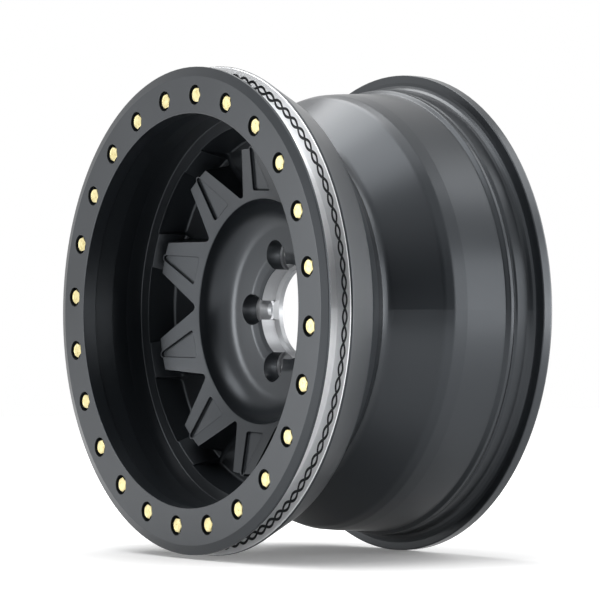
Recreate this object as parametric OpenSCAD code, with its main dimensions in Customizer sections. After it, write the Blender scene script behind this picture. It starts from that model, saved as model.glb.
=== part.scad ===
// A one-piece cast wheel with ten short arms in a deep front bowl, and a separate beadlock ring
// bolted round its front edge. The wheel stands upright: its axis lies along Y, its front faces -Y
// and +Z is up. The origin is the middle of the wheel on its axis.
// Depths are measured straight back from the front face of the ring.

/* [Overall] */
// Width from the face of the ring to the edge of the rear flange
wheel_w = 258.2; // [252:0.1:270]
// Diameter over the rear flange
flange_d = 472.4; // [468:0.1:478]

/* [Beadlock ring] */
// Diameter over the ring
ring_d = 465; // [456:0.5:466]
// Diameter of the opening in the ring
ring_bore_d = 376; // [370:0.5:380]
// Thickness of the ring where it is bolted down
ring_t = 14.6; // [13:0.1:18]
// Width of the chamfer around the face of the ring
ring_bevel_w = 9; // [6:0.1:12]
// Drop of that chamfer at the outer edge
ring_bevel_h = 2.6; // [1.5:0.1:4]
// Thickness of the outer edge below the chamfer
ring_edge_t = 2.5; // [2:0.1:4]
// Step at the back of the ring, from its seat up to the face that presses on the tyre
ring_step_h = 4.4; // [3:0.1:6]
// Rounding of the ring's corners
ring_round = 0.6; // [0.3:0.1:1]

/* [Ring bolts] */
// Number of bolts around the ring
bolt_n = 24; // [16:1:30]
// Diameter of the circle that the bolts stand on
bolt_circle_d = 411.2; // [408:0.1:414]
// Angle of the first bolt
bolt_start = 10.51; // [0:0.01:15]
// Thread diameter of the bolts
bolt_d = 8; // [6:0.5:9]
// Length of a bolt below its head
bolt_len = 30; // [24:0.5:36]
// Width of a bolt head across its flats
head_af = 13; // [11:0.1:14]
// Height of a bolt head
head_h = 5.3; // [4:0.1:6.5]
// How far a bolt head lies below the face of the ring
head_sink = 1.2; // [0.5:0.1:2]
// Diameter of the sinking around each head
sink_d = 19.3; // [17:0.1:21]
// Room around the thread in the holes of the ring
ring_hole_gap = 0.4; // [0.2:0.05:0.8]
// Room between a bolt and the thread cut for it in the casting
thread_gap = 0.05; // [0.02:0.01:0.1]
// Depth of a threaded hole past the end of its bolt
hole_past = 3; // [1:0.5:6]

/* [Seat of the ring] */
// Diameter of the bowl at its front edge, inside the seat
seat_bore_d = 384.6; // [380:0.2:388]
// Diameter of the shoulder that the tyre's front bead sits round
shoulder_d = 426.4; // [425:0.2:430]
// Width of that shoulder
shoulder_w = 11.3; // [8:0.1:14]
// Diameter of the bright face that the bead is clamped against
clamp_d = 466; // [460:0.5:468]
// Bevel at the edge of that face, along the radius
clamp_bevel_r = 1; // [0.5:0.1:2]
// Bevel at the edge of that face, along the axis
clamp_bevel_w = 2.6; // [1:0.1:4]
// Width of the cone behind the bright face
clamp_cone_w = 35.6; // [30:0.1:38]
// Diameter where that cone ends
clamp_root_d = 432.2; // [426:0.2:440]

/* [Barrel] */
// Diameter at the bottom of the well
well_d = 355.6; // [354:0.2:360]
// Depth where the well starts
well_depth = 102.4; // [100:0.1:106]
// Width of the well's bottom
well_w = 7.8; // [4:0.1:12]
// Rise of the round front corner of the well
well_corner_h = 7; // [5:0.1:9]
// Width of the round front corner of the well
well_corner_w = 9.5; // [8:0.1:11]
// Diameter where the long slope behind the well ends
slope_d = 419.4; // [414:0.2:422]
// Width of the long slope behind the well
slope_w = 40.5; // [36:0.1:46]
// Diameter at the front end of the flat part of the barrel
flat_front_d = 428.4; // [426:0.2:430]
// Width of the round start of the flat part
flat_start_w = 23.2; // [18:0.1:28]
// Diameter at the rear end of the flat part of the barrel
flat_rear_d = 433; // [431:0.2:436]
// Wall of the barrel
barrel_t = 8; // [7:0.1:9]

/* [Rear bead seat] */
// Thickness of the rear flange
flange_t = 11.3; // [9:0.1:13]
// Width from the safety hump's foot to the flange
bead_w = 29.3; // [26:0.1:32]
// Diameter over the safety hump
hump_d = 440; // [437:0.2:442]
// Width of the top of the safety hump
hump_w = 3.6; // [2:0.1:5]
// Width of the ramp up to the hump
hump_ramp_w = 3; // [2:0.1:5]
// Diameter at the bottom of the groove behind the hump
bead_groove_d = 437.6; // [434:0.2:438.6]
// Width of one side of that groove
bead_groove_w = 2.2; // [1.6:0.1:3]
// Diameter at the front of the bead seat
bead_d = 439.4; // [437:0.2:442]
// Fillet between the bead seat and the flange
bead_fillet = 8; // [5:0.5:9]
// Rounding of the outer edge of the rear flange
flange_round = 2.6; // [1.5:0.1:4]
// Width of the flat rear face of the flange
flange_face_w = 9.2; // [7:0.1:12]

/* [Bowl] */
// Depth of the ledge around the bottom of the bowl's wall
ledge_depth = 70.7; // [68:0.1:72]
// How far the ledge falls from the wall to its inner edge
ledge_fall = 2; // [1:0.1:3]
// Inner diameter of the ledge at the pockets
ledge_d = 362; // [358:0.2:366]
// How much further in the ledge reaches above a leg
leg_step = 1.4; // [0.6:0.1:2.2]
// Depth of the fine crease in the bowl's wall
crease_depth = 35.9; // [30:0.1:44]
// Height of that crease
crease_h = 0.8; // [0.4:0.1:1.2]

/* [Arms and pockets] */
// Number of arms
arm_n = 10; // [8:1:12]
// Angle of the first pocket between two arms
pocket_start = 33.34; // [0:0.01:36]
// Radius to the blunt outer end of an arm
arm_end_r = 157.5; // [152:0.1:160]
// Width of an arm at its blunt end
arm_end_w = 32; // [26:0.1:38]
// Depth of the arm's face at its blunt end
arm_end_depth = 70.1; // [66:0.1:74]
// Angle at which the arm's face falls towards the hub
arm_fall = 19.1; // [16:0.1:22]
// Width of a leg where it meets the ledge
leg_w = 34.8; // [30:0.1:40]
// Depth of the hollow between an arm's end and the ledge
scoop_depth = 97.7; // [92:0.1:98.5]
// Radius where the slope of a leg reaches the bottom of that hollow
scoop_foot_r = 168.9; // [166:0.1:171]
// Depth of the floor of the pockets
pocket_depth = 100.8; // [99:0.1:104]
// Radius where the outer wall of a pocket meets its floor
pocket_foot_r = 174.9; // [173:0.1:176]
// Radius to the centre of the round inner end of a pocket
pocket_tip_r = 119; // [117:0.1:122]
// Rounding of the inner end of a pocket at the arm's face
pocket_tip_round = 6.5; // [5:0.1:8]
// Draft angle of the sides of a pocket
pocket_draft = 8.5; // [5:0.1:10]
// Fillet around the floor of a pocket
pocket_fillet = 3.2; // [2:0.1:4]

/* [Recess in each arm] */
// Depth of the three-cornered recess
recess_h = 2.8; // [1.5:0.1:4]
// Radius to the straight inner side of the recess
recess_base_r = 117; // [114:0.1:122]
// Width of the recess at its inner side
recess_base_w = 29.2; // [24:0.1:34]
// Rounding of the two inner corners of the recess
recess_round = 2; // [1:0.1:4]
// Radius to the centre of the rounded outer corner of the recess
recess_tip_r = 155.2; // [150:0.1:155.4]
// Rounding of the outer corner of the recess
recess_tip_round = 3; // [2:0.1:4]
// Thin lip left round the outer corner of the recess
recess_lip = 1.2; // [1:0.1:2]

/* [Hub] */
// Diameter of the dish inside the arms
dish_d = 218; // [212:0.5:222]
// Draft angle of the wall of the dish
dish_draft = 12; // [8:0.5:16]
// Depth of the floor of the dish at its wall
dish_depth = 109.5; // [107:0.1:112]
// Fillet between the wall and the floor of the dish
dish_fillet = 12; // [8:0.5:14]
// Diameter where the floor of the dish turns down to the hub bore
collar_d = 110; // [106:0.5:114]
// Depth of the floor at that diameter
collar_depth = 114.6; // [113:0.1:116]
// Depth of the front edge of the hub bore
bore_depth = 118.5; // [117:0.1:120]
// Diameter of the front part of the hub bore, which takes a centre cap
cap_bore_d = 92.8; // [90:0.2:93.4]
// Depth where the front part of the hub bore ends
cap_bore_depth = 131.7; // [126:0.1:134]
// Diameter of the hub bore
hub_bore_d = 87.1; // [80:0.1:89]
// Depth of the face that rests on the axle flange
pad_depth = 143.2; // [140:0.1:148]
// Diameter of the face that rests on the axle flange
pad_d = 160; // [152:0.5:168]
// Number of wheel studs
lug_n = 5; // [4:1:6]
// Diameter of the circle that the wheel studs stand on
lug_circle_d = 114.3; // [112:0.1:116]
// Diameter of the pocket around each lug nut
lug_pocket_d = 29.8; // [27:0.1:32]
// Thickness of the hub between the bottom of each lug nut's pocket and the axle pad
lug_seat_t = 10.8; // [8:0.1:14]
// Diameter of the mouth of the cone that a lug nut seats in
lug_cone_d = 23; // [20:0.1:25]
// Angle of that cone
lug_cone_angle = 60; // [60:5:90]
// Diameter of the holes for the wheel studs
stud_hole_d = 15.2; // [14:0.1:16]

/* [Back of the disc] */
// Thickness of the disc under the pockets
disc_t = 11.9; // [9:0.1:14]
// Thickness of the disc under the dish
dish_t = 12.5; // [10:0.1:14]
// Radius to the inner end of the core behind an arm
core_in_r = 125; // [123:0.5:130]
// Width of the core at its inner end
core_in_w = 34; // [28:0.5:38]
// Radius to the outer end of the core behind an arm
core_out_r = 150; // [144:0.5:152]
// Width of the core at its outer end
core_out_w = 20; // [14:0.5:24]
// Metal left between the core and the recess in the arm
core_skin = 8; // [6:0.5:10]
// Rounding of the corners of the core
core_round = 4; // [2:0.5:6]

/* [Valve hole] */
// Diameter of the hole for the tyre valve
valve_d = 11.5; // [11:0.1:12]
// Pocket that holds the valve hole, counted round from the first one
valve_pocket = 7; // [0:1:7]
// Radius at which the valve hole comes out on the barrel
valve_r = 190; // [189:0.1:196]
// Metal that the valve is clamped to
valve_wall = 8; // [6:0.5:10]
// Diameter of the flat seat cut for the valve inside the bowl
valve_seat_d = 17; // [15:0.5:19]

/* [Hidden] */

$fn = 96;
arc_steps = 4;
over = 1;
front_z = wheel_w / 2;

ring_r = ring_d / 2;
seat_r = shoulder_d / 2 - 0.7;
head_depth = head_sink + head_h;
bolt_end = head_depth + bolt_len;
clamp_depth = ring_t + shoulder_w;
cone_start = clamp_depth + clamp_bevel_w;
cone_end = cone_start + clamp_cone_w;
corner_r = well_d / 2 + well_corner_h;
corner_depth = well_depth - well_corner_w;
slope_start = well_depth + well_w;
slope_end = slope_start + slope_w;
flat_start = slope_end + flat_start_w;
flange_depth = wheel_w - flange_t;
hump_foot = flange_depth - bead_w;
hump_start = hump_foot + hump_ramp_w;
hump_end = hump_start + hump_w;
groove_depth = hump_end + bead_groove_w;
bead_start = groove_depth + bead_groove_w + 0.4;
bead_end_r = bead_d / 2 + (flange_depth - bead_start) * tan(5);
ledge_r = ledge_d / 2;
ledge_in_depth = ledge_depth + ledge_fall;
lug_pocket_depth = pad_depth - lug_seat_t;
disc_back = pocket_depth + disc_t;
dish_back = dish_depth + dish_t;
fall = tan(arm_fall);
half_gap = 180 / arm_n;
draft = tan(pocket_draft);
recess_drop = recess_h / cos(arm_fall);

// Height in the wheel's own turning frame, +Z to the front, of a depth below the ring's face
function at(depth) = front_z - depth;

// Depth of the cone that the faces of the arms lie on
function face_depth(r) = arm_end_depth + (arm_end_r - r) * fall;

function polar(r, a) = r * [cos(a), sin(a)];
function unit(v) = v / norm(v);
function xy(p) = [p.x, p.y];

// Arc that rounds corner b between a and c, the radius being b's third value
function round_corner(a, b, c) =
    let (r = b[2])
    r <= 0 ? [xy(b)] :
    let (
        u = unit(xy(a) - xy(b)),
        w = unit(xy(c) - xy(b)),
        half = acos(u * w) / 2,
        centre = xy(b) + unit(u + w) * r / sin(half),
        p = xy(b) + u * r / tan(half) - centre,
        q = xy(b) + w * r / tan(half) - centre,
        start = atan2(p.y, p.x),
        turn = atan2(p.x * q.y - p.y * q.x, p * q)
    )
    [for (i = [0:arc_steps]) centre + polar(r, start + turn * i / arc_steps)];

// Outline of corners [x, y, radius], with each corner rounded
function rounded(pts) =
    let (n = len(pts))
    [for (i = [0:n - 1]) each round_corner(pts[(i + n - 1) % n], pts[i], pts[(i + 1) % n])];

// The same outline moved inwards by s all round, its roundings shrinking to keep their centres
function inset(pts, s) =
    let (n = len(pts))
    [for (i = [0:n - 1])
        let (
            b = pts[i],
            u = unit(xy(pts[(i + n - 1) % n]) - xy(b)),
            w = unit(xy(pts[(i + 1) % n]) - xy(b)),
            half = acos(u * w) / 2,
            p = xy(b) + unit(u + w) * s / sin(half)
        )
        [p.x, p.y, b[2] <= 0 ? 0 : max(b[2] - s, 1)]];

// Body turned from a profile of [radius, depth, rounding]
module turned(profile) {
    rotate_extrude($fn = 180)
        polygon(rounded([for (p = profile) [p[0], at(p[1]), p[2]]]));
}

// Solid between stacked outlines that have the same number of points, lowest first
module stacked(outlines, heights) {
    n = len(outlines[0]);
    top = n * (len(outlines) - 1);
    polyhedron(
        points = [for (j = [0:len(outlines) - 1]) for (p = outlines[j]) [p.x, p.y, heights[j]]],
        faces = concat(
            [[for (i = [0:n - 1]) i]],
            [for (j = [0:len(outlines) - 2]) for (i = [0:n - 1])
                let (k = j * n, m = (i + 1) % n)
                [k + i, k + n + i, k + n + m, k + m]],
            [[for (i = [n - 1:-1:0]) top + i]]
        ));
}

module around(n, start) {
    for (i = [0:n - 1]) rotate(start + 360 * i / n) children();
}

module bolt_places() {
    around(bolt_n, bolt_start) translate([bolt_circle_d / 2, 0, 0]) children();
}

// Straight hole of diameter d between two depths
module hole(d, from, to) {
    translate([0, 0, at(to)]) cylinder(d = d, h = to - from, $fn = 48);
}

// Side of an arm at the face: the tangent from the corner of its end to the pocket's inner round
arm_corner = polar(arm_end_r, asin(arm_end_w / 2 / arm_end_r) - half_gap);
leg_corner = polar(ledge_r, asin(leg_w / 2 / ledge_r) - half_gap);
to_tip = [pocket_tip_r, 0] - arm_corner;
side_angle = atan2(to_tip.y, to_tip.x) + asin(pocket_tip_round / norm(to_tip));
tip_x = arm_corner.x - arm_corner.y / tan(side_angle);
pocket_out_x = ledge_r + 14;
leg_out = arm_corner + (leg_corner - arm_corner)
    * (pocket_out_x - arm_corner.x) / (leg_corner.x - arm_corner.x);

// Outline of one pocket in the plane of the arms' ends, pointing outwards along +X
pocket_outline = [
    [tip_x, 0, pocket_tip_round],
    [arm_corner.x, arm_corner.y, 3],
    [leg_out.x, leg_out.y, 0],
    [leg_out.x, -leg_out.y, 0],
    [arm_corner.x, -arm_corner.y, 3],
];

// One pocket between two arms, narrowing towards its floor and flared by a fillet at the bottom
module pocket_wedge() {
    steps = [[-over, 1], [0, 1], [0.13, 0.55], [0.42, 0.22], [1, 0]];
    levels = [
        for (s = steps) [pocket_depth - s[0] * pocket_fillet, s[1] * pocket_fillet],
        [arm_end_depth - 10, 0],
    ];
    stacked(
        [for (l = levels) rounded(inset(pocket_outline, (l[0] - arm_end_depth) * draft + l[1]))],
        [for (l = levels) at(l[0])]);
}

// The ring of space that the pockets may fill: their outer wall and floor
module pocket_limits() {
    turned([
        [dish_d / 2, arm_end_depth - 12, 0],
        [ledge_r, arm_end_depth - 12, 0],
        [ledge_r, ledge_in_depth, 0],
        [pocket_foot_r, pocket_depth, pocket_fillet],
        [dish_d / 2, pocket_depth, 0],
    ]);
}

module pockets() {
    intersection() {
        around(arm_n, pocket_start) pocket_wedge();
        pocket_limits();
    }
}

// The space above a cone that lies a given drop below the faces of the arms
module above_face(drop) {
    turned([
        [dish_d / 2, arm_end_depth - 12, 0],
        [ledge_r, arm_end_depth - 12, 0],
        [ledge_r, face_depth(ledge_r) + drop, 0],
        [dish_d / 2, face_depth(dish_d / 2) + drop, 0],
    ]);
}

// The three-cornered recesses in the faces of the arms
module recesses() {
    half_w = recess_base_w / 2;
    to_round = [recess_tip_r - recess_base_r, -half_w];
    side = asin(recess_tip_round / norm(to_round)) + atan2(to_round.y, to_round.x);
    apex_x = recess_base_r - half_w / tan(side);
    intersection() {
        around(arm_n, pocket_start + half_gap)
            translate([0, 0, at(pocket_depth)])
                linear_extrude(pocket_depth)
                    polygon(rounded([
                        [recess_base_r, -half_w, recess_round],
                        [apex_x, 0, recess_tip_round],
                        [recess_base_r, half_w, recess_round],
                    ]));
        above_face(recess_drop);
    }
}

// Round nose at the end of each arm that carries the lip around the recess
module arm_noses() {
    intersection() {
        around(arm_n, pocket_start + half_gap)
            translate([recess_tip_r, 0, at(scoop_depth + over)])
                cylinder(r = recess_tip_round + recess_lip, h = scoop_depth, $fn = 48);
        turned([
            [pocket_tip_r, face_depth(pocket_tip_r), 0],
            [ledge_r, face_depth(ledge_r), 0],
            [ledge_r, scoop_depth + over, 0],
            [pocket_tip_r, scoop_depth + over, 0],
        ]);
    }
}

// Cores that lighten the arms from behind
module arm_cores() {
    skin = recess_drop + core_skin / cos(arm_fall);
    difference() {
        around(arm_n, pocket_start + half_gap)
            translate([0, 0, at(disc_back + over)])
                linear_extrude(disc_back)
                    polygon(rounded([
                        [core_in_r, -core_in_w / 2, core_round],
                        [core_out_r, -core_out_w / 2, core_round],
                        [core_out_r, core_out_w / 2, core_round],
                        [core_in_r, core_in_w / 2, core_round],
                    ]));
        turned([
            [dish_d / 2, -over, 0],
            [ledge_r, -over, 0],
            [ledge_r, face_depth(ledge_r) + skin, 0],
            [dish_d / 2, face_depth(dish_d / 2) + skin, 0],
        ]);
    }
}

// Barrel, ledge, arms' faces, dish and hub, turned as one section
module wheel_section() {
    wall_r = seat_bore_d / 2;
    dish_foot_r = dish_d / 2 - (dish_depth - face_depth(dish_d / 2)) * tan(dish_draft);
    slope_angle = atan2(slope_d / 2 - well_d / 2, slope_w);
    slope_in_r = slope_d / 2 - barrel_t / cos(slope_angle);
    slope_back_r = slope_in_r - (slope_end - disc_back) * tan(slope_angle);
    turned([
        [wall_r, ring_t, 0.6],
        [shoulder_d / 2, ring_t, 0.8],
        [shoulder_d / 2, clamp_depth, 0.8],
        [clamp_d / 2, clamp_depth, 0],
        [clamp_d / 2 + clamp_bevel_r, cone_start, 0.8],
        [clamp_root_d / 2, cone_end, 10],
        [corner_r, corner_depth, 8],
        [well_d / 2, well_depth, 6],
        [well_d / 2, slope_start, 10],
        [slope_d / 2, slope_end, 14],
        [flat_front_d / 2 - 1.4, flat_start - 14, 12],
        [flat_front_d / 2, flat_start, 0],
        [flat_rear_d / 2, hump_foot, 1.5],
        [hump_d / 2, hump_start, 1.5],
        [hump_d / 2, hump_end, 1],
        [bead_groove_d / 2, groove_depth, 0.6],
        [bead_d / 2, bead_start, 0.6],
        [bead_end_r, flange_depth, bead_fillet],
        [flange_d / 2, flange_depth, 1],
        [flange_d / 2, wheel_w, flange_round],
        [flange_d / 2 - flange_face_w, wheel_w, 3],
        [bead_d / 2 - barrel_t * 0.9, flange_depth + 2, 8],
        [bead_d / 2 - barrel_t * 1.2, hump_end, 6],
        [flat_rear_d / 2 - barrel_t, hump_foot, 0],
        [flat_front_d / 2 - barrel_t, flat_start, 12],
        [slope_in_r, slope_end, 14],
        [slope_back_r, disc_back, 8],
        [dish_d / 2 + 7, disc_back, 6],
        [dish_d / 2 - 9, dish_back, 8],
        [pad_d / 2 + 4, dish_back + 5, 6],
        [pad_d / 2, pad_depth, 1.5],
        [hub_bore_d / 2, pad_depth, 0.8],
        [hub_bore_d / 2, cap_bore_depth + 1.5, 0],
        [cap_bore_d / 2, cap_bore_depth, 0],
        [cap_bore_d / 2, bore_depth, 0.5],
        [collar_d / 2, collar_depth, 4],
        [dish_foot_r, dish_depth, dish_fillet],
        [dish_d / 2, face_depth(dish_d / 2), 1.2],
        [arm_end_r, arm_end_depth, 0.8],
        [arm_end_r + (scoop_depth - arm_end_depth) * draft, scoop_depth, 2.4],
        [scoop_foot_r, scoop_depth, 2.4],
        [ledge_r - leg_step, ledge_in_depth, 0.5],
        [wall_r - 0.3, ledge_depth, 1],
        [wall_r + 0.3, (crease_depth + ledge_depth) / 2, 0],
        [wall_r - crease_h, crease_depth, 0],
    ]);
}

// Holes and nut seats for the wheel studs
module lug_holes() {
    cone_h = (lug_cone_d - stud_hole_d) / 2 / tan(lug_cone_angle / 2);
    around(lug_n, pocket_start) translate([lug_circle_d / 2, 0, 0]) {
        hole(lug_pocket_d, dish_depth - over, lug_pocket_depth);
        hole(stud_hole_d, dish_depth, pad_depth + over);
        translate([0, 0, at(lug_pocket_depth + cone_h)])
            cylinder(d1 = stud_hole_d, d2 = lug_cone_d, h = cone_h, $fn = 48);
    }
}

// Valve hole, square to the slope of the barrel, with its seat in the pocket
module valve_hole() {
    run = corner_depth - cone_end;
    rise = clamp_root_d / 2 - corner_r;
    exit_depth = cone_end + (clamp_root_d / 2 - valve_r) * run / rise;
    rotate(pocket_start + 360 / arm_n * valve_pocket)
        translate([valve_r, 0, at(exit_depth)])
            rotate([0, 180 - atan2(run, rise), 0]) {
                translate([0, 0, -2 * valve_wall]) cylinder(d = valve_d, h = 4 * valve_wall, $fn = 48);
                translate([0, 0, -valve_wall - 24]) cylinder(d = valve_seat_d, h = 24, $fn = 48);
            }
}

module wheel_casting() {
    color("dimgray") rotate([90, 0, 0]) difference() {
        union() {
            wheel_section();
            arm_noses();
        }
        pockets();
        recesses();
        arm_cores();
        lug_holes();
        valve_hole();
        bolt_places() hole(bolt_d + 2 * thread_gap, ring_t - over, bolt_end + hole_past);
    }
}

module beadlock_ring() {
    color("slategray") rotate([90, 0, 0]) difference() {
        turned([
            [ring_bore_d / 2, 0, ring_round],
            [ring_r - ring_bevel_w, 0, ring_round],
            [ring_r, ring_bevel_h, ring_round],
            [ring_r, ring_bevel_h + ring_edge_t, ring_round],
            [seat_r, ring_t - ring_step_h, 1],
            [seat_r, ring_t, ring_round],
            [ring_bore_d / 2, ring_t, ring_round],
        ]);
        bolt_places() {
            hole(sink_d, -over, head_depth);
            hole(bolt_d + 2 * ring_hole_gap, 0, ring_t + over);
        }
    }
}

// Hexagon bolts that hold the ring, with the tops of their heads turned to a cone at 30 degrees
module ring_bolts() {
    corner_r = head_af / 2 / cos(30);
    face_r = head_af / 2 * 0.95;
    reach = corner_r + over;
    color("khaki") rotate([90, 0, 0]) bolt_places() {
        intersection() {
            translate([0, 0, at(head_depth)]) rotate(30) cylinder(r = corner_r, h = head_h, $fn = 6);
            turned([
                [0, head_sink, 0],
                [face_r, head_sink, 0],
                [reach, head_sink + (reach - face_r) * tan(30), 0],
                [reach, head_depth, 0],
                [0, head_depth, 0],
            ]);
        }
        hole(bolt_d, head_depth - over, bolt_end);
    }
}

wheel_casting();
beadlock_ring();
ring_bolts();
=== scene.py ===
# %% [markdown]
# A cast wheel with a bolted beadlock ring, painted satin grey, standing on a white studio floor.
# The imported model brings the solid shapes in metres, with the axle along Y and the face towards -Y.
# This script gives them their finishes, works finer shapes into a copy of the casting, swaps the
# plain bolts for detailed ones, and sets up the floor, the lights and the camera.

# %% Load the wheel
import math

import bmesh
import bpy
import numpy as np
from mathutils import Matrix, Vector


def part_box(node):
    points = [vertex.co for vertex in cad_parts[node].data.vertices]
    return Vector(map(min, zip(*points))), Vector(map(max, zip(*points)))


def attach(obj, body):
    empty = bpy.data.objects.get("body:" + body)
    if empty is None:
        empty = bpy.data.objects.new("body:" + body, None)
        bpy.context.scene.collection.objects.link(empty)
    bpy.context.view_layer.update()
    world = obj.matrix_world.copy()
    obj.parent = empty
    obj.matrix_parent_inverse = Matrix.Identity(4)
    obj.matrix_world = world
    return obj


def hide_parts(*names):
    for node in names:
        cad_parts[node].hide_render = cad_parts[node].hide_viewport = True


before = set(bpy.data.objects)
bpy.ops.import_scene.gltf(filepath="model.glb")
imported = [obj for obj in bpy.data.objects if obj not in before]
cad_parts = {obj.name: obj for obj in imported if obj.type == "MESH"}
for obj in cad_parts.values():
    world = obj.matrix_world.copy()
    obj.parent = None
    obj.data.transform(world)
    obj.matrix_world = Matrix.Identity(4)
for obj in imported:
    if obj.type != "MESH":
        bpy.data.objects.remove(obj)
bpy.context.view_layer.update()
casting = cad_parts["wheel_casting"]
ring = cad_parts["beadlock_ring"]
front_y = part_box("beadlock_ring")[0][1]
flange_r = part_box("wheel_casting")[1][2]

# %% [markdown]
# The photo looks at the wheel from the right, 55 degrees round from straight ahead and about three
# metres away, through a long lens. The camera could be turned until the picture looks right, but the
# angles were solved from the ring's bolts, so they are written here as they came out. The wheel is a
# little off the middle of the frame, and two small side steps give that without turning the camera.

# %% Camera
MM = 0.001
TURN, LIFT = math.radians(55.12), math.radians(-0.95)
AWAY, STEP_RIGHT, STEP_UP = 3.0530, 0.10827, 0.01024
BOLT_PLANE = 1.2 * MM
SENSOR_WIDTH, FOCAL_LENGTH = 36, 192.26

toward = Vector((math.sin(TURN) * math.cos(LIFT), -math.cos(TURN) * math.cos(LIFT), math.sin(LIFT)))
rightward = Vector((math.cos(TURN), math.sin(TURN), 0))
upward = toward.cross(rightward)
place = rightward * STEP_RIGHT + upward * STEP_UP + toward * AWAY + Vector((0, front_y + BOLT_PLANE, 0))

camera_data = bpy.data.cameras.new("camera")
camera_data.sensor_width = SENSOR_WIDTH
camera_data.lens = FOCAL_LENGTH
camera = bpy.data.objects.new("camera", camera_data)
bpy.context.scene.collection.objects.link(camera)
camera.matrix_world = Matrix((
    (rightward.x, upward.x, toward.x, place.x),
    (rightward.y, upward.y, toward.y, place.y),
    (rightward.z, upward.z, toward.z, place.z),
    (0, 0, 0, 1)))
bpy.context.scene.camera = camera
print("camera at", [round(v, 3) for v in place])

# %% [markdown]
# Every finish below is a small network of nodes. Writing each link by hand hides the idea, so one
# helper adds a node with its settings and values, and links whatever it is given as an input. The
# same helper builds the world and the Geometry Nodes tree of the bolts.


# %% Helper for node networks
class Network:
    """Adds nodes to the tree of one material, world or modifier and wires them."""

    def __init__(self, tree):
        self.tree = tree
        tree.nodes.clear()

    def put(self, socket, value):
        """Links a socket, or writes a plain value on it."""
        if isinstance(value, bpy.types.NodeSocket):
            self.tree.links.new(value, socket)
        else:
            socket.default_value = value

    def node(self, kind, inputs=(), **settings):
        """Adds a node and gives it back whole."""
        made = self.tree.nodes.new(kind)
        for name, value in settings.items():
            setattr(made, name, value)
        for key, value in dict(inputs).items():
            self.put(made.inputs[key], value)
        return made

    def add(self, kind, inputs=(), out=0, **settings):
        """Adds a node and gives back one of its outputs."""
        return self.node(kind, inputs, **settings).outputs[out]

    def math(self, operation, a, b=0.0, c=0.0):
        return self.add("ShaderNodeMath", {0: a, 1: b, 2: c}, operation=operation)

    def ramp(self, value, low, high):
        """0 below low and 1 above high."""
        return self.add("ShaderNodeMapRange", {"Value": value, "From Min": low, "From Max": high})

    def between(self, value, low, high, soft):
        """1 where low < value < high, fading over a width of soft."""
        up = self.ramp(value, low - soft / 2, low + soft / 2)
        down = self.ramp(value, high + soft / 2, high - soft / 2)
        return self.math("MULTIPLY", up, down)

    def mix(self, factor, a, b):
        """Mixes two colours."""
        return self.add("ShaderNodeMix", {0: factor, 6: a, 7: b}, out=2, data_type="RGBA")

    def blend(self, factor, a, b):
        """Mixes two numbers."""
        return self.add("ShaderNodeMix", {0: factor, 2: a, 3: b})

    def noise(self, where, scale, detail=2.0):
        return self.add("ShaderNodeTexNoise", {"Vector": where, "Scale": scale, "Detail": detail})

    def surface(self, **sockets):
        """Ends the network in a Principled surface."""
        shader = self.add("ShaderNodeBsdfPrincipled", {
            name.replace("_", " "): value for name, value in sockets.items()})
        self.node("ShaderNodeOutputMaterial", {"Surface": shader})


# %% Helpers for materials
def new_material(name):
    """A fresh material and the network to fill it with."""
    material = bpy.data.materials.new(name)
    material.use_nodes = True
    return material, Network(material.node_tree)


def dress(obj, material):
    """Gives a whole object one material."""
    obj.data.materials.clear()
    obj.data.materials.append(material)
    print(obj.name, "wears", material.name)


# %% [markdown]
# Most of the finishes change with the distance from the axle or with the depth behind the ring's
# face, because a wheel is painted whole and then turned on a lathe. Painting masks by hand would
# need a UV map. Object coordinates are the frame's own metres, so here those two lengths and the
# angle round the axle come from a few sums.


# %% Lathe coordinates
def lathe(net):
    """Position, distance from the axle, depth behind the ring's face, and angle round the axle."""
    where = net.add("ShaderNodeTexCoord", out="Object")
    x, y, z = net.node("ShaderNodeSeparateXYZ", {0: where}).outputs
    squares = net.math("ADD", net.math("MULTIPLY", x, x), net.math("MULTIPLY", z, z))
    radius = net.math("SQRT", squares)
    return where, radius, net.math("SUBTRACT", y, front_y), net.math("ARCTAN2", z, x)


# %% [markdown]
# The paint is a satin powder coat. Its skin is never quite flat: it has a soft orange peel about a
# millimetre across and a finer grain that spreads the light. A picture of it would repeat, so two
# noises drive a weak bump. A third, much larger, shifts the gloss a little so that wide faces are not
# dead even. Real corners are rounded by a few tenths of a millimetre, and the Bevel node softens the
# shading there.

# %% Powder coat
PAINT = (0.0142, 0.0166, 0.0196, 1)
PAINT_DARK = (0.0119, 0.0140, 0.0166, 1)
PAINT_SHEEN = (0.87, 0.93, 1.0, 1)
PAINT_ROUGH, ROUGH_DRIFT = 0.30, 0.08
PEEL, GRAIN, DRIFT = 700.0, 2600.0, 14.0
PEEL_STRENGTH, PEEL_HEIGHT = 0.1, 0.15 * MM
BEVEL_SAMPLES = 6


def rounded(net, edge, samples=BEVEL_SAMPLES):
    """The normal of the surface, with corners rounded by edge."""
    return net.add("ShaderNodeBevel", {"Radius": edge}, samples=samples)


def powder_coat(net, where, edge):
    """Colour, roughness and normal of the paint."""
    height = net.math("MULTIPLY_ADD", net.noise(where, GRAIN, 1.0), 0.5, net.noise(where, PEEL))
    normal = net.add("ShaderNodeBump", {
        "Strength": PEEL_STRENGTH, "Distance": PEEL_HEIGHT, "Height": height,
        "Normal": rounded(net, edge)})
    drift = net.noise(where, DRIFT, 3.0)
    rough = net.math("MULTIPLY_ADD", drift, ROUGH_DRIFT, PAINT_ROUGH - ROUGH_DRIFT / 2)
    return net.mix(drift, PAINT_DARK, PAINT), rough, normal


# %% Paint the ring
RING_EDGE = 0.6 * MM

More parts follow.
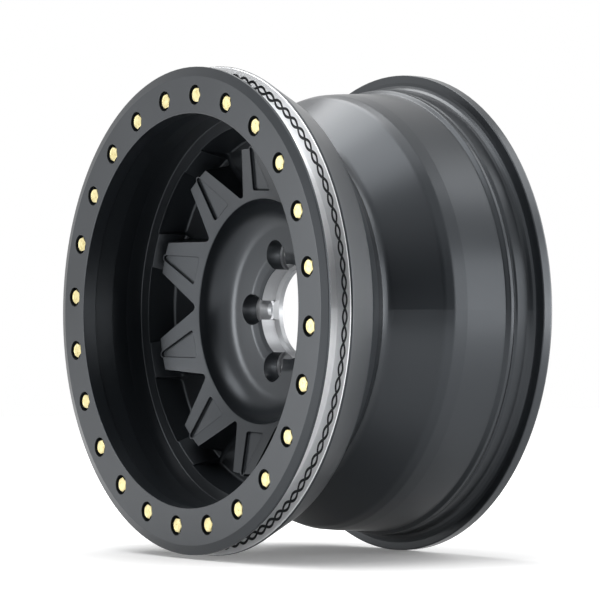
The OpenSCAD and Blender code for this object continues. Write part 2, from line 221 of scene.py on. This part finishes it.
ring_paint, net = new_material("ring_powder_coat")
colour, rough, normal = powder_coat(net, lathe(net)[0], RING_EDGE)
net.surface(Base_Color=colour, Roughness=rough, Specular_Tint=PAINT_SHEEN, Normal=normal)
dress(ring, ring_paint)

# %% [markdown]
# The dish of the real wheel is one smooth bowl from the rim of the arms down to the hub. The packed
# casting has a tighter corner and a flatter floor there, so a copy of it stands in and gets the
# bowl. Sculpting would lose the round form. A lathe made the dish, so its section says it all: the
# depth for each distance from the axle. Both sections are drawn here from their corners and the
# fillets in them, in millimetres.

# %% Sections of the dish
RIM, BORE_EDGE = (109.0, 86.9), (46.4, 118.5)
PACKED_DISH = [(*RIM, 0), (104.2, 109.5, 12), (55, 114.6, 4), (*BORE_EDGE, 0)]
SMOOTH_DISH = [(*RIM, 0), (103.77, 111.5, 29), (58, 114.6, 10), (*BORE_EDGE, 0)]


def section(points, steps=40):
    """Rounds the corners of (radius, depth, fillet) points and gives radii and depths, hub first."""
    line = [Vector(points[0][:2])]
    for before, here, after in zip(points, points[1:], points[2:]):
        corner, fillet = Vector(here[:2]), here[2]
        back = (Vector(before[:2]) - corner).normalized()
        on = (Vector(after[:2]) - corner).normalized()
        half = back.angle(on) / 2
        middle = corner + (back + on).normalized() * fillet / math.sin(half)
        run = fillet / math.tan(half)
        start = (corner + back * run - middle).normalized()
        end = (corner + on * run - middle).normalized()
        line += [middle + start.slerp(end, i / steps) * fillet for i in range(steps + 1)]
    line.append(Vector(points[-1][:2]))
    return np.array(line)[::-1].T * MM


packed, smooth = section(PACKED_DISH), section(SMOOTH_DISH)
print("the bowl differs from the packed dish by up to",
      round(float(np.abs(np.interp(packed[0], *smooth) - packed[1]).max() / MM), 1), "mm")

# %% [markdown]
# The shading of the casting is kept in a layer on the corners of its faces, because merging and
# cutting the mesh would lose it. The copy comes as loose triangles, so their doubles are merged. A
# second layer marks the faces of the dish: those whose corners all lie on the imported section.

# %% Copy the casting and mark its dish
MERGE = 1e-6
ON_WALL, ON_FILLET = 0.08 * MM, 0.25 * MM
DISH_INNER, DISH_RIM = (BORE_EDGE[0] + 0.6) * MM, (RIM[1] + 0.5) * MM


def place_of(v):
    """Distance of a vertex from the axle and its depth behind the ring's face."""
    return math.hypot(v.co.x, v.co.z), v.co.y - front_y


def in_dish(v):
    """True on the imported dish, between the hub bore and the rim."""
    r, d = place_of(v)
    gap = np.hypot(packed[0] - r, packed[1] - d).min()
    near = abs(np.interp(r, *packed) - d) < ON_WALL or gap < ON_FILLET
    return near and r > DISH_INNER and d > DISH_RIM


bm = bmesh.new()
bm.from_mesh(casting.data)
facing = bm.loops.layers.float_vector.new("facing")
dish = bm.faces.layers.int.new("dish")
shading = casting.data.corner_normals
for face in bm.faces:
    for loop in face.loops:
        loop[facing] = shading[loop.index].vector
bmesh.ops.remove_doubles(bm, verts=bm.verts, dist=MERGE)
on_dish = {v for v in bm.verts if in_dish(v)}
for face in bm.faces:
    face[dish] = all(v in on_dish for v in face.verts) and face.normal.y < 0
print("faces in the packed dish", sum(face[dish] for face in bm.faces))

# %% [markdown]
# The dish has too few points to bend, so every edge in it that is longer than 3 mm is halved until
# none is left. Then each point moves along the axle to the smooth section, and the shading follows
# the slope of that section.

# %% Bend the dish to the smooth bowl
FINEST, MOST_CUTS = 3.0 * MM, 8
DISH_TOP = 89.5 * MM
SLOPE_STEP = 0.2 * MM

for _ in range(MOST_CUTS):
    long_edges = {e for f in bm.faces if f[dish] for e in f.edges if e.calc_length() > FINEST}
    if not long_edges:
        break
    bmesh.ops.subdivide_edges(bm, edges=list(long_edges), cuts=1)
    bmesh.ops.triangulate(bm, faces=[f for f in bm.faces if len(f.verts) > 3])
dish_faces = [f for f in bm.faces if f[dish]]
for v in {v for f in dish_faces for v in f.verts}:
    r, d = place_of(v)
    if d > DISH_TOP and r > DISH_INNER:
        v.co.y = front_y + float(np.interp(r, *smooth))
for loop in (loop for f in dish_faces for loop in f.loops):
    r, _ = place_of(loop.vert)
    rise = float(np.interp(r + SLOPE_STEP, *smooth) - np.interp(r - SLOPE_STEP, *smooth))
    slope = rise / (2 * SLOPE_STEP)
    x, _, z = loop.vert.co
    loop[facing] = Vector((slope * x / r, -1, slope * z / r)).normalized()
print("faces in the bowl", len(dish_faces))

# %% [markdown]
# The hub bore goes down in two steps, and both lie a few millimetres deeper in the photo than in
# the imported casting. Each step is a circle of points at one radius and one depth, in millimetres,
# so moving those circles is enough.

# %% Deepen the steps of the bore
BORE_STEPS = {(46.4, 131.7): 134.5, (43.55, 133.2): 138.0}
NEAR_STEP = 0.1

moved = 0
for v in bm.verts:
    r, d = place_of(v)
    for (step_r, step_d), new_d in BORE_STEPS.items():
        if abs(r / MM - step_r) < NEAR_STEP and abs(d / MM - step_d) < NEAR_STEP:
            v.co.y = front_y + new_d * MM
            moved += 1
print("points moved in the bore", moved)

# %% [markdown]
# Two grooves weave round the bead face like a flat chain and bite into the rubber of the tyre. A
# Boolean with a swept cutter would leave slivers. The face is flat between two circles, so it is
# taken out and laid again as a net of rows and columns. The rows of each column follow the edges of
# the grooves, which keeps the walls clean with few faces. Two opposite waves give the centre lines,
# and where they cross, the land between them is let down to the floor.

# %% One column of the grooved face
LINKS, CHAIN_RADIUS, CHAIN_SWING, GROOVE = 90, 224.5 * MM, 3.1 * MM, 2.3 * MM
GROOVE_DEPTH, GROOVE_LEAN = 0.55 * MM, 0.15 * MM
LEAST_LAND, LEAST_FLOOR = 0.02 * MM, 0.05 * MM


def chain_column(turn):
    """Distance from the chain's circle and depth below the face of each row, hub first."""
    phase = turn * LINKS / 2
    lean = math.cos(phase) * CHAIN_SWING * LINKS / 2 / CHAIN_RADIUS
    half = GROOVE / 2 * math.hypot(1, lean)
    wave = abs(math.sin(phase)) * CHAIN_SWING
    land_depth = 0 if wave - half > 2 * GROOVE_LEAN else GROOVE_DEPTH
    outer = [(max(wave - half - GROOVE_LEAN, LEAST_LAND), land_depth),
             (max(wave - half, LEAST_FLOOR), GROOVE_DEPTH),
             (wave + half, GROOVE_DEPTH),
             (wave + half + GROOVE_LEAN, 0),
             (CHAIN_SWING + GROOVE, 0)]
    return [(-off, down) for off, down in reversed(outer)] + outer


print("rows in a column", len(chain_column(0)))


# %% [markdown]
# The net has far more columns than the edges of the old face have points, so its rims are joined to
# them by a walk round both circles: each step goes on along the circle whose next point comes first.

# %% Join two rings of points
def angle_of(v):
    return math.atan2(v.co.z, v.co.x)


def turn_of(points, k):
    """Angle of the k-th point of a ring in order of angle, counted on past a full turn."""
    return angle_of(points[k % len(points)]) + math.tau * (k // len(points))


def join_rings(low, high):
    """Joins two rings of any count by triangles that look towards the front."""
    made, i, j = [], 0, 0
    while i < len(low) or j < len(high):
        if j == len(high) or (i < len(low) and turn_of(low, i + 1) <= turn_of(high, j + 1)):
            corners = (low[(i + 1) % len(low)], low[i % len(low)], high[j % len(high)])
            i += 1
        else:
            corners = (low[i % len(low)], high[j % len(high)], high[(j + 1) % len(high)])
            j += 1
        made.append(bm.faces.new(corners))
    return made


# %% Lay the bead face again with its grooves
FACE_DEPTH, FACE_INNER, ON_FACE = 25.9 * MM, 213.8 * MM, 0.02 * MM
LINK_STEPS = 24


def on_face(v):
    """True on the flat bead face and its two edges."""
    r, d = place_of(v)
    return abs(d - FACE_DEPTH) < ON_FACE and r > FACE_INNER


def chain_point(turn, off, down):
    """A new vertex at an angle, beside the chain's circle and below the face."""
    r = CHAIN_RADIUS + off
    return bm.verts.new((r * math.cos(turn), front_y + FACE_DEPTH + down, r * math.sin(turn)))


bmesh.ops.delete(bm, geom=[f for f in bm.faces if all(on_face(v) for v in f.verts)], context="FACES")
edges = sorted((v for v in bm.verts if on_face(v)), key=angle_of)
inner_edge = [v for v in edges if place_of(v)[0] < CHAIN_RADIUS]
outer_edge = [v for v in edges if place_of(v)[0] > CHAIN_RADIUS]
count = LINKS * LINK_STEPS
turns = [-math.pi + math.tau * (k + 0.5) / count for k in range(count)]
columns = [[chain_point(turn, *row) for row in chain_column(turn)] for turn in turns]
rows = [inner_edge, *(list(row) for row in zip(*columns)), outer_edge]
grooved = [face for low, high in zip(rows, rows[1:]) for face in join_rings(low, high)]
for face in grooved:
    face.normal_update()
    for loop in face.loops:
        loop[facing] = face.normal
print("faces in the grooved bead face", len(grooved))

# %% [markdown]
# The copy is done. It takes the casting's place: it rides on the root body, and the imported
# casting is hidden in the viewport and in renders. The two layers have done their work and come off.

# %% Put the copy in the casting's place
smooth_mesh = bpy.data.meshes.new("smooth_dish_casting")
bm.to_mesh(smooth_mesh)
normals = [loop[facing].normalized() for face in bm.faces for loop in face.loops]
bm.free()
smooth_mesh.normals_split_custom_set(normals)
smooth_mesh.attributes.remove(smooth_mesh.attributes["facing"])
smooth_mesh.attributes.remove(smooth_mesh.attributes["dish"])
casting_piece = bpy.data.objects.new("smooth_dish_casting", smooth_mesh)
bpy.context.scene.collection.objects.link(casting_piece)
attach(casting_piece, "root")
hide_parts("wheel_casting")
print("the casting's copy has", len(smooth_mesh.polygons), "faces")

# %% [markdown]
# After painting, the maker turns a few faces of the casting back to bare aluminium: the shoulder
# behind the ring, the face that clamps the tyre's bead, with its bevel, the hub bore, the seats of
# the lug nuts and the pad that rests on the axle. Each is a band of radius and depth, so a mask picks
# it out and one material covers the casting. The chain grooves keep the black paint, so the same two
# waves mask them out.

# %% Masks of the bare faces
CLAMP = dict(inner=212.9 * MM, front=12 * MM, back=26.6 * MM)
BORE_RADIUS, BORE_FRONT = 47.3 * MM, 118.9 * MM
SEAT_OUTER, SEAT_DEPTH = 73 * MM, 130.0 * MM
PAD_OUTER, PAD_DEPTH = 80.2 * MM, 143.0 * MM
SOFT = 0.1 * MM


def chain_grooves(net, radius, angle):
    """1 inside the two woven grooves of the bead face, with their walls."""
    phase = net.math("MULTIPLY", angle, LINKS / 2)
    wave = net.math("MULTIPLY", net.math("SINE", phase), CHAIN_SWING)
    lean = net.math("MULTIPLY", net.math("COSINE", phase), CHAIN_SWING * LINKS / 2 / CHAIN_RADIUS)
    stretch = net.math("SQRT", net.math("MULTIPLY_ADD", lean, lean, 1.0))
    off = net.math("SUBTRACT", radius, CHAIN_RADIUS)
    one = net.math("ABSOLUTE", net.math("SUBTRACT", off, wave))
    two = net.math("ABSOLUTE", net.math("ADD", off, wave))
    near = net.math("DIVIDE", net.math("MINIMUM", one, two), stretch)
    edge = GROOVE / 2 + GROOVE_LEAN
    return net.ramp(near, edge + SOFT, edge)


def inside_and_behind(net, radius, outer, depth, front):
    """1 nearer to the axle than outer and deeper than front."""
    return net.math("MULTIPLY", net.ramp(radius, outer + SOFT, outer),
                    net.ramp(depth, front, front + SOFT))


casting_finish, net = new_material("casting_paint_and_turned_faces")
where, radius, depth, angle = lathe(net)
clamp = net.math("MULTIPLY", net.ramp(radius, CLAMP["inner"], CLAMP["inner"] + SOFT),
                 net.between(depth, CLAMP["front"], CLAMP["back"], SOFT))
bore = inside_and_behind(net, radius, BORE_RADIUS, depth, BORE_FRONT)
seats = inside_and_behind(net, radius, SEAT_OUTER, depth, SEAT_DEPTH)
pad = inside_and_behind(net, radius, PAD_OUTER, depth, PAD_DEPTH)
chain = net.math("MULTIPLY", chain_grooves(net, radius, angle), clamp)
turned = net.math("MAXIMUM", net.math("MAXIMUM", clamp, bore), net.math("MAXIMUM", seats, pad))
bare = net.math("SUBTRACT", turned, chain)
print("bare faces masked")

# %% [markdown]
# A lathe tool leaves fine rings on a turned face. They drive a weak bump and shift the tone, and
# come from a noise that is stretched round the axle. The rings also smear every highlight across
# them, which is what makes turned metal look turned. Anisotropic gives that without any real ring,
# with the tangent running round the axle. The face that clamps the bead gets a much paler tone
# than the bore. That is painted light, standing in for the brighter light that this face catches.

# %% Bare aluminium and the casting's finish
CASTING_EDGE, TURNED_EDGE = 0.9 * MM, 0.4 * MM
MARKS, MARKS_STRETCH, MARKS_STRENGTH, MARKS_HEIGHT = 3500.0, 0.002, 0.25, 0.05 * MM
BORE_TONES = (0.34, 0.35, 0.36, 1), (0.49, 0.50, 0.52, 1)
# The clamp face's tones are set well above the bore's, which is painted light on that face.
CLAMP_PAINTED_LIGHT_TONES = (0.78, 0.79, 0.81, 1), (0.95, 0.96, 0.97, 1)
GROOVE_PAINT, NO_TINT = (0.006, 0.006, 0.007, 1), (1, 1, 1, 1)
BARE_ROUGH, MARKS_ROUGH = 0.42, 0.1
BARE_SMEAR, QUARTER_TURN = 0.85, 0.25

colour, rough, normal = powder_coat(net, where, CASTING_EDGE)
rings = net.add("ShaderNodeCombineXYZ", {
    0: radius, 1: depth, 2: net.math("MULTIPLY", angle, MARKS_STRETCH)})
marks = net.noise(rings, MARKS, 2.0)
marked = net.add("ShaderNodeBump", {
    "Strength": MARKS_STRENGTH, "Distance": MARKS_HEIGHT, "Height": marks,
    "Normal": rounded(net, TURNED_EDGE)})
worked = net.math("MAXIMUM", bare, chain)
# The clamp face's paler tone in this mix is painted light.
bare_colour_with_painted_light = net.mix(clamp, net.mix(marks, *BORE_TONES), net.mix(marks, *CLAMP_PAINTED_LIGHT_TONES))
painted = net.mix(chain, colour, GROOVE_PAINT)
net.surface(
    Base_Color=net.mix(bare, painted, bare_colour_with_painted_light),
    Metallic=bare,
    Roughness=net.blend(worked, rough, net.math("MULTIPLY_ADD", marks, MARKS_ROUGH, BARE_ROUGH)),
    Specular_Tint=net.mix(bare, PAINT_SHEEN, NO_TINT),
    Anisotropic=net.math("MULTIPLY", bare, BARE_SMEAR),
    Anisotropic_Rotation=QUARTER_TURN,
    Tangent=net.add("ShaderNodeTangent", direction_type="RADIAL", axis="Y"),
    Normal=net.add("ShaderNodeMix", {0: worked, 4: normal, 5: marked}, out=1, data_type="VECTOR"))
dress(casting_piece, casting_finish)

# %% [markdown]
# The ring is held by hexagon bolts. The model has them as plain pegs. A real one has a head with its
# corners turned off and a slight hollow in its face, a washer face below it, and a thread. Turned
# parts are rings of points joined to each other, so one bolt is built that way with bmesh: first the
# head from its seat to the hollow, then the shank down from the same seat.

# %% Sizes of a bolt
HEAD_FLATS, HEAD_HEIGHT = 13 * MM, 5.3 * MM
WASHER_RADIUS, WASHER_HEIGHT = HEAD_FLATS * 0.46, 0.35 * MM
LOWER_EDGE, LOWER_EDGE_HEIGHT = 0.985, 0.6 * MM
FACE_RADIUS, CORNER_SLOPE = HEAD_FLATS * 0.475, math.tan(math.radians(30))
HOLLOW_OUTER, HOLLOW_INNER, HOLLOW_DEPTH = 0.9, 0.82, 0.2 * MM
THREAD, PITCH, BOLT_LENGTH = 8 * MM, 1.25 * MM, 30 * MM
THREAD_PLAY, THREAD_WAVE, PLAIN_ROWS = 0.03 * MM, 0.33 * MM, 4
SIDES, ROWS_PER_PITCH = 48, 4


def hexagon(a):
    """Reach of a hexagonal head at angle a."""
    off = (math.degrees(a) + 30) % 60 - 30
    return HEAD_FLATS / 2 / math.cos(math.radians(off))


print("head across corners", round(2 * hexagon(math.radians(30)) / MM, 2), "mm")


# %% Rings of the head and rows of the thread
def circle(bm, reach, height, angles):
    """A ring of vertices. Reach and height are functions of the angle."""
    return [bm.verts.new((reach(a) * math.cos(a), reach(a) * math.sin(a), height(a))) for a in angles]


def head_rings(bm, angles):
    """The head from its seat to the hollow in its face."""
    profile = [
        (lambda a: THREAD * 0.5, lambda a: 0.0),
        (lambda a: WASHER_RADIUS, lambda a: 0.0),
        (lambda a: WASHER_RADIUS, lambda a: WASHER_HEIGHT),
        (lambda a: hexagon(a) * LOWER_EDGE, lambda a: WASHER_HEIGHT),
        (hexagon, lambda a: LOWER_EDGE_HEIGHT),
        (hexagon, lambda a: HEAD_HEIGHT - max(hexagon(a) - FACE_RADIUS, 0) * CORNER_SLOPE),
        (lambda a: FACE_RADIUS, lambda a: HEAD_HEIGHT),
        (lambda a: FACE_RADIUS * HOLLOW_OUTER, lambda a: HEAD_HEIGHT),
        (lambda a: FACE_RADIUS * HOLLOW_INNER, lambda a: HEAD_HEIGHT - HOLLOW_DEPTH),
    ]
    return [circle(bm, reach, height, angles) for reach, height in profile]


def thread_rows(bm, angles):
    """The shank below the head, plain at first and then a winding thread."""
    steps = int(BOLT_LENGTH / PITCH) * ROWS_PER_PITCH
    made = []
    for k in range(1, steps + 1):
        z = -BOLT_LENGTH * k / steps
        cut = THREAD_WAVE if k > PLAIN_ROWS else 0

        def reach(a):
            return THREAD / 2 - THREAD_PLAY - cut * (1 - math.cos(math.tau * z / PITCH + a))

        made.append(circle(bm, reach, lambda a: z, angles))
    return made


# %% One bolt
def join_loops(bm, low, high):
    """Joins two rings of the same count by four-sided faces."""
    n = len(low)
    for i in range(n):
        bm.faces.new((low[i], low[(i + 1) % n], high[(i + 1) % n], high[i]))


def join_half(bm, whole, half):
    """Joins a ring to one with half its count."""
    n = len(half)
    for i in range(n):
        a, b, c = whole[2 * i], whole[2 * i + 1], whole[(2 * i + 2) % len(whole)]
        bm.faces.new((b, a, half[i]))
        bm.faces.new((c, b, half[i], half[(i + 1) % n]))


def bolt_mesh():
    """A bolt with the seat of its head at z = 0 and its face towards +Z."""
    bm = bmesh.new()
    angles = [math.tau * i / SIDES for i in range(SIDES)]
    head = head_rings(bm, angles)
    for low, high in zip(head, head[1:]):
        join_loops(bm, low, high)
    bm.faces.new(head[-1])
    thread = thread_rows(bm, angles[::2])
    join_half(bm, head[0], thread[0])
    for high, low in zip(thread, thread[1:]):
        join_loops(bm, low, high)
    bm.faces.new(list(reversed(thread[-1])))
    bmesh.ops.recalc_face_normals(bm, faces=bm.faces)
    mesh = bpy.data.meshes.new("one_bolt")
    bm.to_mesh(mesh)
    bm.free()
    return mesh


one_bolt = bpy.data.objects.new("one_bolt", bolt_mesh())
bpy.context.scene.collection.objects.link(one_bolt)
print("one bolt has", len(one_bolt.data.polygons), "faces")

# %% [markdown]
# The bolts are plated with zinc and passivated to a pale yellow. The film is thin and uneven, so a
# cloudy noise shifts both its tone and its gloss, which keeps the heads from looking like plastic.

# %% Zinc plating
ZINC_DEEP, ZINC_PALE = (0.58, 0.47, 0.17, 1), (0.74, 0.69, 0.43, 1)
CLOUD, PITTING = 260.0, 1800.0
PIT_STRENGTH, PIT_DEPTH = 0.2, 0.05 * MM
ZINC_ROUGH, CLOUD_ROUGH, ZINC_METAL = 0.2, 0.2, 0.9
ZINC_EDGE, ZINC_EDGE_SAMPLES = 0.12 * MM, 4

zinc, net = new_material("yellow_zinc_plate")
where = net.add("ShaderNodeTexCoord", out="Object")
cloud = net.noise(where, CLOUD, 3.0)
pitted = net.add("ShaderNodeBump", {
    "Strength": PIT_STRENGTH, "Distance": PIT_DEPTH, "Height": net.noise(where, PITTING),
    "Normal": rounded(net, ZINC_EDGE, ZINC_EDGE_SAMPLES)})
net.surface(Base_Color=net.mix(cloud, ZINC_DEEP, ZINC_PALE), Metallic=ZINC_METAL,
            Roughness=net.math("MULTIPLY_ADD", cloud, CLOUD_ROUGH, ZINC_ROUGH), Normal=pitted)
print("zinc plating made")

# %% [markdown]
# The ring has 24 bolts. Copies placed by hand would hide the rule, so Geometry Nodes set them: one
# point for each bolt, its place from the sine and cosine of its share of the turn, and the bolt
# tipped so that its face looks out. The circle, the count and the seat are named inputs. Realize
# Instances makes them real, because the export drops instances.

# %% Tree of the bolts
tree = bpy.data.node_groups.new("bolts_round_a_circle", "GeometryNodeTree")
tree.interface.new_socket("Geometry", in_out="OUTPUT", socket_type="NodeSocketGeometry")
sockets = {}
for name, kind in (("Geometry", "NodeSocketGeometry"), ("Bolt", "NodeSocketObject"),
                   ("Count", "NodeSocketInt"), ("Circle Radius", "NodeSocketFloat"),
                   ("First Angle", "NodeSocketFloat"), ("Seat", "NodeSocketFloat"),
                   ("Plating", "NodeSocketMaterial")):
    sockets[name] = tree.interface.new_socket(name, in_out="INPUT", socket_type=kind).identifier

net = Network(tree)
given = net.node("NodeGroupInput").outputs
share = net.math("DIVIDE", net.add("GeometryNodeInputIndex"), given["Count"])
turn_on = net.math("MULTIPLY_ADD", share, math.tau, given["First Angle"])
spot = net.add("ShaderNodeCombineXYZ", {
    0: net.math("MULTIPLY", net.math("COSINE", turn_on), given["Circle Radius"]),
    1: given["Seat"],
    2: net.math("MULTIPLY", net.math("SINE", turn_on), given["Circle Radius"])})
points = net.add("GeometryNodePoints", {"Count": given["Count"], "Position": spot})
shape = net.add("GeometryNodeObjectInfo", {"Object": given["Bolt"]}, out="Geometry")
face_out = net.add("ShaderNodeCombineXYZ", {0: math.pi / 2})
spin = net.add("ShaderNodeCombineXYZ", {2: turn_on})
tip = net.add("FunctionNodeRotateEuler", {"Rotation": spin, "Rotate By": face_out}, space="OBJECT")
placed = net.add("GeometryNodeInstanceOnPoints", {"Points": points, "Instance": shape, "Rotation": tip})
real = net.add("GeometryNodeRealizeInstances", {"Geometry": placed})
plated = net.add("GeometryNodeSetMaterial", {"Geometry": real, "Material": given["Plating"]})
net.node("NodeGroupOutput", {0: plated})
print("the tree of the bolts has", len(tree.nodes), "nodes")

# %% Bolts round the ring
BOLT_COUNT, BOLT_CIRCLE, FIRST_BOLT = 24, 205.6 * MM, 10.51
HEAD_SINK = 1.2 * MM

holder = bpy.data.objects.new("holder", bpy.data.meshes.new("holder"))
bpy.context.scene.collection.objects.link(holder)
bolts = holder.modifiers.new("bolts", "NODES")
bolts.node_group = tree
for name, value in (("Bolt", one_bolt), ("Count", BOLT_COUNT), ("Circle Radius", BOLT_CIRCLE),
                    ("First Angle", math.radians(FIRST_BOLT)),
                    ("Seat", front_y + HEAD_SINK + HEAD_HEIGHT), ("Plating", zinc)):
    bolts[sockets[name]] = value
bpy.context.view_layer.update()
shaped = holder.evaluated_get(bpy.context.evaluated_depsgraph_get())
plated_bolts = bpy.data.objects.new("plated_bolts", bpy.data.meshes.new_from_object(shaped))
bpy.context.scene.collection.objects.link(plated_bolts)
for spare in (holder, one_bolt):
    bpy.data.objects.remove(spare)
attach(plated_bolts, "root")
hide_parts("ring_bolts")
print("bolts", len(plated_bolts.data.polygons), "faces")

# %% [markdown]
# The wheel stands on a white floor against a white backdrop. Lamps bright enough to turn both white
# would burn out the wheel, so they glow by themselves, but only for the camera and for mirror rays.
# The turned metal and the satin paint then reflect a white studio, and no light is added. The
# floor's glow is weaker near the wheel, where the lamps light it too, so the wheel's shadow stays.
# Right under the wheel the glow drops further still, which paints a darker contact shadow there.

# %% White floor
REACH = 6.0
FLOOR_WHITE, FLOOR_ROUGH, FLOOR_SHINE = (0.95, 0.95, 0.95, 1), 0.8, 0.1
# The glow right under the wheel is set lower still, which paints a contact shadow.
PAINTED_SHADOW_GLOW, BESIDE, BEYOND = 0.16, 0.38, 1.0
PAINTED_SHADOW_ENDS, BESIDE_ENDS = (0.27, 0.37), (0.5, 1.1)
WHITE = (1, 1, 1, 1)


def rays_that_see_white(net):
    """1 for camera rays, and 1 for mirror and see-through rays."""
    path = net.node("ShaderNodeLightPath").outputs
    mirror = net.math("MAXIMUM", path["Is Glossy Ray"], path["Is Transmission Ray"])
    return path["Is Camera Ray"], mirror


floor_mesh = bpy.data.meshes.new("floor")
floor_mesh.from_pydata([(x, y, -flange_r) for x, y in (
    (-REACH, -REACH), (REACH, -REACH), (REACH, REACH), (-REACH, REACH))], [], [(0, 1, 2, 3)])
floor = bpy.data.objects.new("floor", floor_mesh)
bpy.context.scene.collection.objects.link(floor)
white, net = new_material("white_floor")
where = net.add("ShaderNodeTexCoord", out="Object")
from_wheel = net.add("ShaderNodeVectorMath", {0: where}, out=1, operation="LENGTH")
# Close under the wheel the glow falls to its lowest level, which paints a contact shadow.
glow_with_painted_shadow = net.blend(net.ramp(from_wheel, *PAINTED_SHADOW_ENDS), PAINTED_SHADOW_GLOW, BESIDE)
glow = net.blend(net.ramp(from_wheel, *BESIDE_ENDS), glow_with_painted_shadow, BEYOND)
shown = net.math("MAXIMUM", *rays_that_see_white(net))
net.surface(Base_Color=FLOOR_WHITE, Roughness=FLOOR_ROUGH, Specular_IOR_Level=FLOOR_SHINE,
            Emission_Color=WHITE, Emission_Strength=net.math("MULTIPLY", shown, glow))
dress(floor, white)

# %% [markdown]
# The backdrop is the world itself, so no wall has to be placed behind the wheel. One side of the
# room, beside the camera, is dim to mirror rays. The middle of the barrel reflects it, which gives
# the barrel the dark band that it has in the photo.

# %% White backdrop
DIM_TURN = math.radians(-20)
DIM_SIDE = (math.cos(DIM_TURN), math.sin(DIM_TURN), 0)
DIM_ENDS, DIM_LEVEL = (0.70, 0.93), 0.03

world = bpy.data.worlds.new("studio")
bpy.context.scene.world = world
world.use_nodes = True
net = Network(world.node_tree)
camera_ray, mirror_ray = rays_that_see_white(net)
way = net.add("ShaderNodeTexCoord", out="Generated")
to_dim_side = net.add("ShaderNodeVectorMath", {0: way, 1: DIM_SIDE}, out=1, operation="DOT_PRODUCT")
mirrored = net.blend(net.ramp(to_dim_side, *DIM_ENDS), 1.0, DIM_LEVEL)
level = net.blend(camera_ray, net.math("MULTIPLY", mirror_ray, mirrored), 1.0)
net.node("ShaderNodeOutputWorld", {
    "Surface": net.add("ShaderNodeBackground", {"Color": WHITE, "Strength": level})})
print("white floor and backdrop")

# %% [markdown]
# Eight soft boxes stand round the wheel, each given by its direction from the wheel, its size and
# its power. Point lamps would leave hard spots on the satin paint. Four boxes stand to the right and
# behind, where they run bright bands along the barrel. The others stand overhead or in front, and
# light the arms and the face of the ring.


# %% Soft boxes
def soft_box(name, round_from_x, above, size, watts, away_by=2.6):
    """An area lamp that faces the wheel, placed by two angles in degrees."""
    a, e = math.radians(round_from_x), math.radians(above)
    place = Vector((math.cos(a) * math.cos(e), math.sin(a) * math.cos(e), math.sin(e))) * away_by
    lamp = bpy.data.lights.new(name, "AREA")
    lamp.shape, lamp.size, lamp.energy = "SQUARE", size, watts
    obj = bpy.data.objects.new(name, lamp)
    bpy.context.scene.collection.objects.link(obj)
    obj.location = place
    obj.rotation_euler = place.to_track_quat("Z", "Y").to_euler()


BOXES = (("rear_right_box", 65, 8, 1.4, 27.8), ("right_box", 35, 8, 1.4, 17.1),
         ("right_low_box", 50, -4, 0.8, 20.0), ("rear_right_high_box", 70, 38, 1.6, 23.0),
         ("left_high_box", 180, 62, 1.5, 38.0), ("front_high_box", -90, 60, 1.5, 26.0),
         ("front_left_box", -125, 3, 0.7, 17.0), ("top_box", 0, 89, 1.8, 14.0))
for box in BOXES:
    soft_box(*box)
bpy.context.scene.view_settings.view_transform = "Standard"
print("soft boxes set", len(BOXES))
